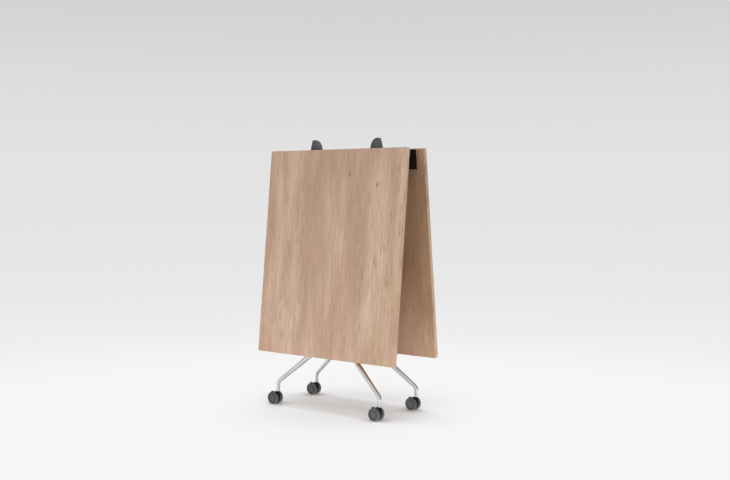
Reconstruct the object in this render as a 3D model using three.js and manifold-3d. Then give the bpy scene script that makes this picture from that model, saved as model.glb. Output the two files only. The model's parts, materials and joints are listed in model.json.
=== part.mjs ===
// Mobile centre-folding table, modelled folded up for parking. Two oak-faced leaves lean together
// over a steel centre beam; two chrome pedestals on twin-wheel castors carry them. Unfolding lowers
// the beam and pushes the pedestals apart until both leaves lie level at desk height.
// Millimetres, +Z up, X along the fold line, the front leaf on the -Y side, origin on the floor.

import * as THREE from 'three';
import { mergeVertices } from 'three/addons/utils/BufferGeometryUtils.js';
import Module from 'manifold-3d';

const wasm = await Module();
wasm.setup();

// The table as a whole
const TABLE_HEIGHT = 736;
const LEAF_WIDTH = 750;
const LEAF_LENGTH = 898.5;
const BOARD_THICKNESS = 18;
const BOARD_CORNER = 3;
const BOARD_EDGE_ROUND = 1;
const CENTRE_GAP = 3;
const FOLDED_TILT = THREE.MathUtils.degToRad(6.05);

// Clearances between pieces
const FIT = 0.3;
const LOOSE_FIT = 0.6;

// Facets round a bar or a bore
const ROUND_SIDES = 12;

// Leaf hinges on the beam, and the axles that carry the leaves on the pedestals
const HINGE_SETBACK = 24;
const HINGE_DROP = 27.5;
const HINGE_ROD_RADIUS = 4;
const HINGE_EYE_RADIUS = 6.8;
const ARM_REACH = 412;
const AXLE_RADIUS = 6;
const AXLE_EYE_RADIUS = 13;
const ROD_OVERHANG = 10;

// Carrier rails screwed under each leaf
const RAIL_X = 170;
const RAIL_WEB = 8;
const RAIL_FLANGE_WIDTH = 50;
const RAIL_FLANGE = 4;
const RAIL_PAST_HINGE = 18;
const RAIL_PAST_AXLE = 190;
const RAIL_TAIL_HEIGHT = 9;
const RAIL_SLOT_LENGTH = 70;
const RAIL_SLOT_HEIGHT = 12;
const RAIL_SLOTS = 3;

// Centre beam, a trapezoid tube with sides parallel to the folded leaves
const BEAM_INSET = 16;
const BEAM_TOP_WIDTH = 31;
const BEAM_HEIGHT = 82;
const BEAM_TOP_RISE = 21;
const BEAM_WALL = 2.5;
const BEAM_CORNER = 3;
const EAR_THICKNESS = 7;
const EAR_GAP = 2;
const LUG_THICKNESS = 6;
const LUG_EDGE = 10;
const CAP_FLANGE = 3;
const CAP_PLUG = 12;

// Levelling links that keep the pedestals upright
const LINK_INSET = 16;
const LINK_DROP = 75;
const LINK_WIDTH = 12;
const LINK_EYE_RADIUS = 8;
const LINK_WAIST = 12;
const LINK_PIN_RADIUS = 4;
const LINK_PIN_OVERHANG = 3.5;

// Finger levers that stand up between the leaves
const LEVER_X = 190;
const LEVER_PIVOT_RISE = 6;
const LEVER_THICKNESS = 14;
const LEVER_ABOVE_LEAF = 47;
const LEVER_BASE = 59;
const LEVER_TOP = 10;
const LEVER_OUTER = 7;
const LEVER_CORNER = 5;
const LEVER_LEAN = THREE.MathUtils.degToRad(15.5);
const LEVER_HUB_RADIUS = 10;
const LEVER_PIN_RADIUS = 3;
const LEVER_RIM = 3.5;
const LEVER_POCKET = 4;
const LEVER_RIB = 2;
const LEVER_RIBS = 3;
const LEVER_SLOT_SIDE = 1;
const LEVER_SLOT_END = 4;

// Pedestals of two tapered chrome tubes each
const FOOT_X = 282.3;
const FOOT_Y = 133.3;
const FOOT_RADIUS = 8;
const FOOT_BEND_Z = 99;
const FOOT_BEND_RADIUS = 32;
const COLUMN_X = 27;
const COLUMN_RADIUS = 14;
const COLUMN_WALL = 2.5;
const COLUMN_BEND_Z = 310;
const COLUMN_BEND_RADIUS = 90;
const COLUMN_PAST_AXLE = 12;
const COLUMN_CAP = 2.5;
const COLUMN_PLUG = 4;
const TUBE_SIDES = 12;
const BEND_STEPS = 4;
const HEAD_CHEEK = 6;
const HEAD_HEIGHT = 46;
const HEAD_BELOW_PIN = 14;
const HEAD_BRIDGE = 6;
const CLAMP_HEIGHT = 22;
const CLAMP_WALL = 5;

// Twin-wheel castors, all trailing towards -X
const WHEEL_RADIUS = 27.5;
const WHEEL_WIDTH = 17;
const WHEEL_INSET = 3.5;
const WHEEL_BOSS = 8.5;
const WHEEL_SIDES = 16;
const WHEEL_ROUND = 2.5;
const WHEEL_RING = 22;
const WHEEL_HUB = 11.5;
const WHEEL_DISH = 1.8;
const WHEEL_AXLE_RADIUS = 4;
const WHEEL_AXLE_DEPTH = 12;
const CASTOR_TRAIL = 17;
const CASTOR_WEB = 9;
const CASTOR_WEB_RADIUS = 14;
const CASTOR_NECK_RADIUS = 7.5;
const CASTOR_BOSS_RADIUS = 8;
const CASTOR_BOSS_FLOOR = 3;
const CASTOR_HEIGHT = 57;
const STEM_RADIUS = 4.5;
const STEM_COLLAR_RADIUS = 7.5;
const STEM_COLLAR = 2;
const STEM_IN_LEG = 14;
const STEM_IN_CASTOR = 22;
const BRAKE_ANGLE = THREE.MathUtils.degToRad(105);
const BRAKE_ORBIT = 19;
const BRAKE_KNUCKLE = 4;
const BRAKE_SOCKET_WALL = 2.5;
const BRAKE_LENGTH = 15;
const BRAKE_PAD_START = 10;
const BRAKE_ARM_WIDTH = 8;
const BRAKE_PAD_WIDTH = 12;
const BRAKE_TIP = 2.3;
const BRAKE_RISE = THREE.MathUtils.degToRad(24);

// Heights and places worked out from the sizes above
const underside = TABLE_HEIGHT - BOARD_THICKNESS;
const axleZ = underside - HINGE_DROP;
const hingeY = CENTRE_GAP / 2 + HINGE_SETBACK;
const hingeZ = axleZ + ARM_REACH * Math.cos(FOLDED_TILT);
const axleY = hingeY + ARM_REACH * Math.sin(FOLDED_TILT);
const leafTopZ = hingeZ + HINGE_SETBACK * Math.cos(FOLDED_TILT)
  + (HINGE_DROP + BOARD_THICKNESS) * Math.sin(FOLDED_TILT);
const beamTopZ = hingeZ + BEAM_TOP_RISE;
const beamBottomZ = beamTopZ - BEAM_HEIGHT;
const beamHalfLength = LEAF_WIDTH / 2 - BEAM_INSET;
const beamTubeHalf = beamHalfLength - CAP_FLANGE - FIT;
const linkTopY = hingeY - LINK_INSET;
const linkTopZ = hingeZ - LINK_DROP;
const linkFootY = axleY - LINK_INSET;
const linkFootZ = axleZ - LINK_DROP;
const leverZ = hingeZ + LEVER_PIVOT_RISE;
const columnTopZ = axleZ + COLUMN_PAST_AXLE;
const footZ = CASTOR_HEIGHT + FIT + STEM_COLLAR + FIT;
const lugInner = LINK_WIDTH / 2 + LOOSE_FIT;
const rodHalfLength = RAIL_X + RAIL_WEB / 2 + EAR_GAP + EAR_THICKNESS + ROD_OVERHANG;

const FINISHES = {
  oak: { color: 0xc0a28a, roughness: 0.55, metalness: 0 },
  blackSteel: { color: 0x1b1d1f, roughness: 0.6, metalness: 0.3 },
  plainSteel: { color: 0x8d9093, roughness: 0.4, metalness: 0.9 },
  chrome: { color: 0xd4d6d8, roughness: 0.12, metalness: 1 },
  blackPlastic: { color: 0x17191b, roughness: 0.55, metalness: 0 },
  greyPlastic: { color: 0x4a4b4d, roughness: 0.5, metalness: 0 },
  tread: { color: 0x3f4042, roughness: 0.6, metalness: 0 },
};

function piece(name, geometry, finish) {
  const mesh = new THREE.Mesh(geometry, new THREE.MeshStandardMaterial(FINISHES[finish]));
  mesh.name = name;
  return mesh;
}

// A closed geometry becomes a solid that can be joined or cut.
function solidOf(geometry) {
  const bare = geometry.clone();
  bare.deleteAttribute('normal');
  bare.deleteAttribute('uv');
  const merged = mergeVertices(bare, 1e-4);
  const corners = merged.index.array;
  const kept = [];
  for (let i = 0; i < corners.length; i += 3) {
    const [a, b, c] = [corners[i], corners[i + 1], corners[i + 2]];
    if (a !== b && b !== c && c !== a) kept.push(a, b, c);
  }
  return new wasm.Manifold(new wasm.Mesh({
    numProp: 3,
    vertProperties: new Float32Array(merged.attributes.position.array),
    triVerts: new Uint32Array(kept),
  }));
}

function geometryOf(solid) {
  const mesh = solid.getMesh();
  const geometry = new THREE.BufferGeometry();
  geometry.setAttribute('position', new THREE.Float32BufferAttribute(mesh.vertProperties, 3));
  geometry.setIndex(new THREE.Uint32BufferAttribute(mesh.triVerts, 1));
  geometry.computeVertexNormals();
  return geometry;
}

// Joins the first list of geometries, then cuts the second list out of them.
function carve(joined, cut = []) {
  const whole = joined.map(solidOf).reduce((all, next) => all.add(next));
  return geometryOf(cut.map(solidOf).reduce((left, tool) => left.subtract(tool), whole));
}

function block(x0, x1, y0, y1, z0, z1) {
  return new THREE.BoxGeometry(x1 - x0, y1 - y0, z1 - z0)
    .translate((x0 + x1) / 2, (y0 + y1) / 2, (z0 + z1) / 2);
}

// Extrusions of a flat outline: drawn in Y,Z and run along X, in X,Z along Y, or in X,Y along Z.
function alongX(shape, x0, x1, curveSegments = 6) {
  const turn = new THREE.Matrix4().makeBasis(
    new THREE.Vector3(0, 1, 0), new THREE.Vector3(0, 0, 1), new THREE.Vector3(1, 0, 0));
  return new THREE.ExtrudeGeometry(shape, { depth: x1 - x0, bevelEnabled: false, curveSegments })
    .applyMatrix4(turn).translate(x0, 0, 0);
}

function alongY(shape, y0, y1, curveSegments = 6) {
  return new THREE.ExtrudeGeometry(shape, { depth: y1 - y0, bevelEnabled: false, curveSegments })
    .rotateX(Math.PI / 2).translate(0, y1, 0);
}

function alongZ(shape, z0, z1, curveSegments = 6) {
  return new THREE.ExtrudeGeometry(shape, { depth: z1 - z0, bevelEnabled: false, curveSegments })
    .translate(0, 0, z0);
}

// Round bars along X at a place in Y,Z, along Y at a place in X,Z, and along Z at a place in X,Y.
function barX(radius, x0, x1, y, z, sides = ROUND_SIDES) {
  return new THREE.CylinderGeometry(radius, radius, x1 - x0, sides)
    .rotateZ(Math.PI / 2).translate((x0 + x1) / 2, y, z);
}

function barY(radius, y0, y1, x, z, sides = ROUND_SIDES) {
  return new THREE.CylinderGeometry(radius, radius, y1 - y0, sides).translate(x, (y0 + y1) / 2, z);
}

function barZ(radius, z0, z1, x, y, sides = ROUND_SIDES) {
  return new THREE.CylinderGeometry(radius, radius, z1 - z0, sides)
    .rotateX(Math.PI / 2).translate(x, y, (z0 + z1) / 2);
}

// The corner radius of a faceted bore whose flats clear a round piece by the fit.
const bored = (radius, fit = FIT, sides = ROUND_SIDES) => (radius + fit) / Math.cos(Math.PI / sides);

const at = (x, y) => new THREE.Vector2(x, y);

function roundedOutline(corners, radius) {
  const shape = new THREE.Shape();
  corners.forEach((corner, i) => {
    const toBefore = corners.at(i - 1).clone().sub(corner).normalize();
    const toAfter = corners[(i + 1) % corners.length].clone().sub(corner).normalize();
    const reach = radius / Math.tan(Math.acos(toBefore.dot(toAfter)) / 2);
    const start = corner.clone().addScaledVector(toBefore, reach);
    const end = corner.clone().addScaledVector(toAfter, reach);
    if (i === 0) shape.moveTo(start.x, start.y);
    else shape.lineTo(start.x, start.y);
    shape.quadraticCurveTo(corner.x, corner.y, end.x, end.y);
  });
  shape.closePath();
  return shape;
}

// The outline of a belt round two circles.
function strapOutline(a, radiusA, b, radiusB) {
  const run = b.clone().sub(a);
  const lean = Math.acos((radiusA - radiusB) / run.length());
  const heading = run.angle();
  const shape = new THREE.Shape();
  shape.absarc(b.x, b.y, radiusB, heading - lean, heading + lean, false);
  shape.absarc(a.x, a.y, radiusA, heading + lean, heading - lean + 2 * Math.PI, false);
  shape.closePath();
  return shape;
}

// Turned on a lathe about the Z axis, from a profile of radius and height.
function turned(profile, sides = ROUND_SIDES) {
  const points = profile.map(([radius, height]) => at(radius, height));
  return new THREE.LatheGeometry(points, sides).rotateX(Math.PI / 2);
}

// A skin over rings of points, closed at both ends; all rings have the same count.
function loft(rings) {
  const sides = rings[0].length;
  const points = rings.flat();
  const centre = (ring) => ring
    .reduce((sum, point) => sum.add(point), new THREE.Vector3()).divideScalar(sides);
  points.push(centre(rings[0]), centre(rings.at(-1)));
  const faces = [];
  const first = sides * rings.length;
  const last = first + 1;
  const lastRing = sides * (rings.length - 1);
  for (let i = 0; i < sides; i += 1) {
    const next = (i + 1) % sides;
    for (let ring = 0; ring < rings.length - 1; ring += 1) {
      const low = ring * sides;
      const high = low + sides;
      faces.push(low + i, low + next, high + next, low + i, high + next, high + i);
    }
    faces.push(first, next, i, last, lastRing + i, lastRing + next);
  }
  const geometry = new THREE.BufferGeometry().setFromPoints(points);
  geometry.setIndex(faces);
  geometry.computeVertexNormals();
  return geometry;
}

// Leaf pieces are drawn as the leaf lies in use, measured from its hinge rod, +Y outwards.
function topBoard() {
  const half = LEAF_WIDTH / 2 - BOARD_EDGE_ROUND;
  const inner = -HINGE_SETBACK + BOARD_EDGE_ROUND;
  const outer = LEAF_LENGTH - HINGE_SETBACK - BOARD_EDGE_ROUND;
  const outline = roundedOutline(
    [at(-half, inner), at(half, inner), at(half, outer), at(-half, outer)], BOARD_CORNER);
  return new THREE.ExtrudeGeometry(outline, {
    depth: BOARD_THICKNESS - 2 * BOARD_EDGE_ROUND,
    bevelSize: BOARD_EDGE_ROUND,
    bevelThickness: BOARD_EDGE_ROUND,
    bevelSegments: 1,
    curveSegments: 2,
  }).translate(0, 0, HINGE_DROP + BOARD_EDGE_ROUND);
}

// A T-section rail: a flange under the board, and a web with an eye at each pivot.
function carrierRail(x) {
  const flangeTop = HINGE_DROP - FIT;
  const flangeBottom = flangeTop - RAIL_FLANGE;
  const tail = ARM_REACH + RAIL_PAST_AXLE;
  const webStart = -HINGE_EYE_RADIUS + LOOSE_FIT;
  const beamFoot = (BEAM_HEIGHT - BEAM_TOP_RISE) / Math.cos(FOLDED_TILT);
  const web = new THREE.Shape();
  web.moveTo(tail, flangeTop - RAIL_FLANGE / 2);
  web.lineTo(webStart, flangeTop - RAIL_FLANGE / 2);
  web.absarc(0, 0, HINGE_EYE_RADIUS, Math.PI, 1.5 * Math.PI, false);
  web.lineTo(beamFoot, -HINGE_EYE_RADIUS);
  web.absarc(ARM_REACH, 0, AXLE_EYE_RADIUS, 1.5 * Math.PI, 2 * Math.PI, false);
  web.lineTo(tail, flangeBottom - RAIL_TAIL_HEIGHT);
  web.closePath();
  const slotZ = (flangeBottom - HINGE_EYE_RADIUS) / 2;
  const pitch = (ARM_REACH - beamFoot) / (RAIL_SLOTS + 1);
  const slots = Array.from({ length: RAIL_SLOTS }, (_, i) => {
    const middle = beamFoot + pitch * (i + 1);
    const half = (RAIL_SLOT_LENGTH - RAIL_SLOT_HEIGHT) / 2;
    const outline = strapOutline(
      at(middle - half, slotZ), RAIL_SLOT_HEIGHT / 2, at(middle + half, slotZ), RAIL_SLOT_HEIGHT / 2);
    return alongX(outline, x - RAIL_WEB, x + RAIL_WEB, 3);
  });
  const halfFlange = RAIL_FLANGE_WIDTH / 2;
  const flange = roundedOutline([
    at(x - halfFlange, -RAIL_PAST_HINGE), at(x + halfFlange, -RAIL_PAST_HINGE),
    at(x + halfFlange, tail), at(x - halfFlange, tail)], RAIL_WEB / 2);
  return carve([
    alongZ(flange, flangeBottom, flangeTop, 2),
    alongX(web, x - RAIL_WEB / 2, x + RAIL_WEB / 2, 4),
  ], [
    barX(bored(HINGE_ROD_RADIUS), x - RAIL_WEB, x + RAIL_WEB, 0, 0),
    barX(bored(AXLE_RADIUS), x - RAIL_WEB, x + RAIL_WEB, ARM_REACH, 0),
    ...slots,
  ]);
}

// Half the beam's width at a height, less an inset from its face.
function beamHalfWidth(z, inset = 0) {
  const side = BEAM_TOP_WIDTH / 2 + (beamTopZ - z) * Math.tan(FOLDED_TILT);
  return side - inset / Math.cos(FOLDED_TILT);
}

function beamOutline(inset) {
  const top = beamTopZ - inset;
  const bottom = beamBottomZ + inset;
  const halfTop = beamHalfWidth(top, inset);
  const halfBottom = beamHalfWidth(bottom, inset);
  return roundedOutline(
    [at(-halfBottom, bottom), at(halfBottom, bottom), at(halfTop, top), at(-halfTop, top)],
    BEAM_CORNER - inset / 2);
}

// The lever's pivot is its origin; the leaf's top edge and the fin's tip are heights above it.
const leverEdge = leafTopZ - leverZ;
const leverTip = leverEdge + LEVER_ABOVE_LEAF;

function finOutline(rim, base) {
  const slope = Math.tan(LEVER_LEAN);
  const top = leverTip - rim;
  const outer = (z) => LEVER_OUTER - rim - (z - leverEdge) * slope;
  const shoulder = LEVER_OUTER - LEVER_ABOVE_LEAF * slope - LEVER_TOP;
  const reach = shoulder - (LEVER_OUTER - LEVER_BASE) - rim;
  const corner = LEVER_CORNER - rim;
  const shape = new THREE.Shape();
  shape.moveTo(outer(base), base);
  shape.lineTo(outer(top - corner), top - corner);
  shape.quadraticCurveTo(outer(top), top, outer(top) - corner, top);
  shape.lineTo(shoulder, top);
  shape.absellipse(shoulder, leverEdge, reach, LEVER_ABOVE_LEAF - rim, Math.PI / 2, Math.PI, false, 0);
  shape.lineTo(shoulder - reach, base);
  shape.closePath();
  return shape;
}

// A moulded fin with a rim and cross ribs on both faces, on a hub that turns on the lever pin.
function lever() {
  const half = LEVER_THICKNESS / 2;
  const neck = beamTopZ - leverZ;
  const foot = new THREE.Shape();
  foot.moveTo(LEVER_OUTER, neck);
  foot.lineTo(LEVER_OUTER - LEVER_BASE, neck);
  foot.lineTo(LEVER_OUTER - LEVER_BASE, LEVER_HUB_RADIUS);
  foot.absarc(0, 0, LEVER_HUB_RADIUS, 1.25 * Math.PI, 2 * Math.PI, false);
  foot.closePath();
  const pocket = solidOf(alongY(finOutline(LEVER_RIM, leverEdge), half - LEVER_POCKET, half + 1, 8));
  const pitch = LEVER_ABOVE_LEAF / (LEVER_RIBS + 1);
  let cells = pocket;
  for (let i = 1; i <= LEVER_RIBS; i += 1) {
    const z = leverEdge + pitch * i;
    cells = cells.subtract(solidOf(
      block(-LEVER_BASE, LEVER_BASE, 0, LEVER_THICKNESS, z - LEVER_RIB / 2, z + LEVER_RIB / 2)));
  }
  const nearCells = geometryOf(cells);
  const farCells = nearCells.clone().translate(0, LEVER_POCKET - LEVER_THICKNESS - 1, 0);
  return carve([
    alongY(finOutline(0, neck - LEVER_RIM), -half, half, 8),
    alongY(foot, -half, half, 8),
  ], [
    nearCells,
    farCells,
    barY(bored(LEVER_PIN_RADIUS), -LEVER_THICKNESS, LEVER_THICKNESS, 0, 0),
  ]);
}

// The beam tube, slotted for the levers, with hinge ears at the rails and link lugs underneath.
function centreBeam() {
  const tube = beamOutline(0);
  tube.holes.push(beamOutline(BEAM_WALL));
  const ear = (x0, x1, side) => {
    const root = side * (beamHalfWidth(hingeZ) - BEAM_WALL / 2);
    const outline = new THREE.Shape();
    outline.moveTo(root, hingeZ - side * HINGE_EYE_RADIUS);
    const start = -side * Math.PI / 2;
    outline.absarc(side * hingeY, hingeZ, HINGE_EYE_RADIUS, start, start + Math.PI, false);
    outline.lineTo(root, hingeZ + side * HINGE_EYE_RADIUS);
    outline.closePath();
    return alongX(outline, x0, x1, 4);
  };
  const earInner = RAIL_X - RAIL_WEB / 2 - EAR_GAP;
  const earOuter = RAIL_X + RAIL_WEB / 2 + EAR_GAP;
  const ears = [];
  const bores = [];
  for (const side of [-1, 1]) {
    for (const end of [-1, 1]) {
      for (const [near, far] of [[earInner - EAR_THICKNESS, earInner], [earOuter, earOuter + EAR_THICKNESS]]) {
        const [x0, x1] = end > 0 ? [near, far] : [-far, -near];
        ears.push(ear(x0, x1, side));
      }
    }
    bores.push(barX(bored(HINGE_ROD_RADIUS), -rodHalfLength, rodHalfLength, side * hingeY, hingeZ));
    bores.push(barX(bored(LINK_PIN_RADIUS), -LEVER_X, LEVER_X, side * linkTopY, linkTopZ));
  }
  const lugHalf = linkTopY + LUG_EDGE;
  const lugFoot = linkTopZ - LUG_EDGE;
  const lugTop = beamBottomZ + BEAM_WALL / 2;
  const lugOutline = roundedOutline(
    [at(-lugHalf, lugFoot), at(lugHalf, lugFoot), at(lugHalf, lugTop), at(-lugHalf, lugTop)], BEAM_CORNER);
  const lugs = [[lugInner, lugInner + LUG_THICKNESS], [-lugInner - LUG_THICKNESS, -lugInner]]
    .map(([x0, x1]) => alongX(lugOutline, x0, x1, 2));
  const tipReach = Math.hypot(leverTip, LEVER_OUTER - LEVER_ABOVE_LEAF * Math.tan(LEVER_LEAN) - LEVER_TOP);
  const slotHalf = LEVER_THICKNESS / 2 + LEVER_SLOT_SIDE;
  const slots = [-1, 1].flatMap((end) => {
    const ends = [end * (LEVER_X - tipReach - LEVER_SLOT_END), end * (LEVER_X + LEVER_OUTER + LEVER_SLOT_END)];
    const [x0, x1] = ends.sort((a, b) => a - b);
    const wide = beamHalfWidth(leverZ) + BEAM_WALL;
    return [
      block(x0, x1, -slotHalf, slotHalf, beamTopZ - 2 * BEAM_WALL, beamTopZ + BEAM_WALL),
      barY(bored(LEVER_PIN_RADIUS), -wide, wide, end * LEVER_X, leverZ),
    ];
  });
  return carve([alongX(tube, -beamTubeHalf, beamTubeHalf, 2), ...ears, ...lugs], [...bores, ...slots]);
}

// A plastic cap: a flange over the end of the beam, and a plug that grips inside it.
function beamEndCap(end) {
  const face = beamTubeHalf + FIT;
  const flange = [end * face, end * beamHalfLength].sort((a, b) => a - b);
  const plug = [end * (face - CAP_PLUG), end * (face + CAP_FLANGE / 2)].sort((a, b) => a - b);
  return carve([
    alongX(beamOutline(0), ...flange, 2),
    alongX(beamOutline(BEAM_WALL + FIT), ...plug, 2),
  ]);
}

// The tube's centre line, from the castor up round both bends to the top of the column.
function legPath() {
  const foot = new THREE.Vector3(FOOT_X, FOOT_Y, footZ);
  const low = new THREE.Vector3(FOOT_X, FOOT_Y, FOOT_BEND_Z);
  const high = new THREE.Vector3(COLUMN_X, axleY, COLUMN_BEND_Z);
  const top = new THREE.Vector3(COLUMN_X, axleY, columnTopZ);
  const slope = high.clone().sub(low).normalize();
  const up = new THREE.Vector3(0, 0, 1);
  const halfBend = Math.tan(Math.acos(slope.z) / 2);
  const bend = (corner, before, after, radius) => new THREE.QuadraticBezierCurve3(
    corner.clone().addScaledVector(before, -radius * halfBend),
    corner,
    corner.clone().addScaledVector(after, radius * halfBend)).getPoints(BEND_STEPS);
  return [foot, ...bend(low, up, slope, FOOT_BEND_RADIUS),
    ...bend(high, slope, up, COLUMN_BEND_RADIUS), top];
}

// A bent tube that tapers to the foot, bored for the castor stem below and hollow in the column.
function leg(hand) {
  const path = legPath();
  const across = path.at(-1).clone().sub(path[0]).setZ(0).normalize().cross(new THREE.Vector3(0, 0, 1));
  const lengths = path.map((point, i) => (i ? point.distanceTo(path[i - 1]) : 0));
  const taperEnd = lengths.slice(0, -1).reduce((sum, length) => sum + length, 0);
  const ringAt = (centre, along, radius) => {
    const other = along.clone().cross(across).normalize();
    return Array.from({ length: TUBE_SIDES }, (_, i) => {
      const turn = (2 * Math.PI * i) / TUBE_SIDES;
      return centre.clone()
        .addScaledVector(across, radius * Math.cos(turn))
        .addScaledVector(other, radius * Math.sin(turn));
    });
  };
  const up = new THREE.Vector3(0, 0, 1);
  const lift = (point, z) => point.clone().setZ(z);
  let travelled = 0;
  const skin = path.map((point, i) => {
    travelled += lengths[i];
    const before = path[Math.max(i - 1, 0)];
    const after = path[Math.min(i + 1, path.length - 1)];
    const ends = i === 0 || i === path.length - 1;
    const along = ends ? up : after.clone().sub(point).normalize()
      .add(point.clone().sub(before).normalize()).normalize();
    const share = Math.min(travelled / taperEnd, 1);
    return ringAt(point, along, THREE.MathUtils.lerp(FOOT_RADIUS, COLUMN_RADIUS, share));
  });
  const stemBore = bored(STEM_RADIUS);
  const columnBore = COLUMN_RADIUS - COLUMN_WALL;
  const boreFloor = COLUMN_BEND_Z + COLUMN_BEND_RADIUS;
  const tube = loft([
    ringAt(lift(path[0], footZ + STEM_IN_LEG + FIT), up, stemBore),
    ringAt(path[0], up, stemBore),
    ...skin,
    ringAt(path.at(-1), up, columnBore),
    ringAt(lift(path.at(-1), boreFloor), up, columnBore),
  ]);
  const across0 = COLUMN_X - 2 * COLUMN_RADIUS;
  const across1 = COLUMN_X + 2 * COLUMN_RADIUS;
  const drilled = carve([tube], [barX(bored(AXLE_RADIUS), across0, across1, axleY, axleZ)]);
  return hand > 0 ? drilled : mirrored(drilled);
}

// The opposite hand of a piece, across the YZ plane.
function mirrored(geometry) {
  const copy = geometry.clone().scale(-1, 1, 1);
  const corners = copy.index.array;
  for (let i = 0; i < corners.length; i += 3) {
    [corners[i], corners[i + 1]] = [corners[i + 1], corners[i]];
  }
  copy.computeVertexNormals();
  return copy;
}

function columnCap() {
  const seat = columnTopZ + FIT;
  const plug = (COLUMN_RADIUS - COLUMN_WALL) * Math.cos(Math.PI / TUBE_SIDES) - FIT;
  return turned([
    [0, seat - COLUMN_PLUG], [plug, seat - COLUMN_PLUG], [plug, seat], [COLUMN_RADIUS, seat],
    [COLUMN_RADIUS, seat + COLUMN_CAP / 2], [COLUMN_RADIUS - COLUMN_CAP / 2, seat + COLUMN_CAP],
    [0, seat + COLUMN_CAP]]);
}

// A welded fork between the columns, open to the middle of the table, that holds the link's foot.
function pedestalHead() {
  const outer = COLUMN_X - COLUMN_RADIUS - FIT;
  const inner = outer - HEAD_CHEEK;
  const mouth = linkFootY - HEAD_BELOW_PIN;
  const bridge = linkFootY + LINK_EYE_RADIUS + HEAD_BRIDGE / 2;
  const fork = new THREE.Shape([
    at(-outer, mouth), at(-inner, mouth), at(-inner, bridge), at(inner, bridge), at(inner, mouth),
    at(outer, mouth), at(outer, bridge + HEAD_BRIDGE), at(-outer, bridge + HEAD_BRIDGE)]);
  const bottom = linkFootZ - HEAD_BELOW_PIN;
  return carve([alongZ(fork, bottom, bottom + HEAD_HEIGHT)],
    [barX(bored(LINK_PIN_RADIUS), -COLUMN_X, COLUMN_X, linkFootY, linkFootZ)]);
}

// A collar round both columns just above their bends.
function columnClamp() {
  const bottom = COLUMN_BEND_Z + COLUMN_BEND_RADIUS / 2;
  const outline = strapOutline(at(-COLUMN_X, axleY), COLUMN_RADIUS + CLAMP_WALL,
    at(COLUMN_X, axleY), COLUMN_RADIUS + CLAMP_WALL);
  const top = bottom + CLAMP_HEIGHT;
  return carve([alongZ(outline, bottom, top, 6)], [-COLUMN_X, COLUMN_X].map((x) => barZ(
    bored(COLUMN_RADIUS), bottom - CLAMP_WALL, top + CLAMP_WALL, x, axleY)));
}

// A flat link with an eye at each end, from the beam's lugs down to the pedestal's fork.
function levellingLink() {
  const length = Math.hypot(linkFootY - linkTopY, linkTopZ - linkFootZ);
  const half = LINK_WIDTH / 2;
  const flank = Math.asin(LINK_WAIST / 2 / LINK_EYE_RADIUS);
  const outline = new THREE.Shape();
  outline.absarc(0, 0, LINK_EYE_RADIUS, flank - Math.PI / 2, 1.5 * Math.PI - flank, false);
  outline.absarc(0, -length, LINK_EYE_RADIUS, Math.PI / 2 + flank, 2.5 * Math.PI - flank, false);
  outline.closePath();
  const link = carve([alongX(outline, -half, half, 8)], [
    barX(bored(LINK_PIN_RADIUS), -LINK_WIDTH, LINK_WIDTH, 0, 0),
    barX(bored(LINK_PIN_RADIUS, LOOSE_FIT), -LINK_WIDTH, LINK_WIDTH, 0, -length),
  ]);
  const lean = Math.atan2(linkFootY - linkTopY, linkTopZ - linkFootZ);
  return link.rotateX(lean).translate(0, linkTopY, linkTopZ);
}

// Castor pieces are drawn about the swivel axis, on the floor.
const wheelGap = CASTOR_WEB / 2 + LOOSE_FIT;
const axlePlace = at(-CASTOR_TRAIL, WHEEL_RADIUS);

// A wheel with a boss towards the web, a rounded tread and a dished face, flat on the floor.
function castorWheel(side) {
  const flatten = 1 / Math.cos(Math.PI / WHEEL_SIDES);
  const bore = WHEEL_AXLE_RADIUS + FIT;
  const face = WHEEL_WIDTH - WHEEL_DISH / 3;
  const profile = [
    [0, WHEEL_AXLE_DEPTH], [bore, WHEEL_AXLE_DEPTH], [bore, 0], [WHEEL_BOSS, 0], [WHEEL_BOSS, WHEEL_INSET],
    [WHEEL_RADIUS - WHEEL_ROUND, WHEEL_INSET], [WHEEL_RADIUS, WHEEL_INSET + WHEEL_ROUND],
    [WHEEL_RADIUS, WHEEL_WIDTH - WHEEL_ROUND],
    [WHEEL_RADIUS - WHEEL_ROUND, WHEEL_WIDTH], [WHEEL_RING, WHEEL_WIDTH],
    [WHEEL_RING - WHEEL_DISH, WHEEL_WIDTH - WHEEL_DISH],
    [WHEEL_HUB + WHEEL_DISH, WHEEL_WIDTH - WHEEL_DISH], [WHEEL_HUB, face], [0, face]];
  const points = profile.map(([radius, width]) => at(radius * flatten, width));
  const wheel = new THREE.LatheGeometry(points, WHEEL_SIDES, Math.PI / WHEEL_SIDES);
  wheel.translate(0, wheelGap, 0).rotateZ(side > 0 ? 0 : Math.PI);
  return wheel.translate(axlePlace.x, 0, axlePlace.y);
}

const brakePlace = axlePlace.clone()
  .add(at(Math.cos(BRAKE_ANGLE), Math.sin(BRAKE_ANGLE)).multiplyScalar(BRAKE_ORBIT));
const brakeRun = at(-Math.cos(BRAKE_RISE), Math.sin(BRAKE_RISE));

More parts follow.
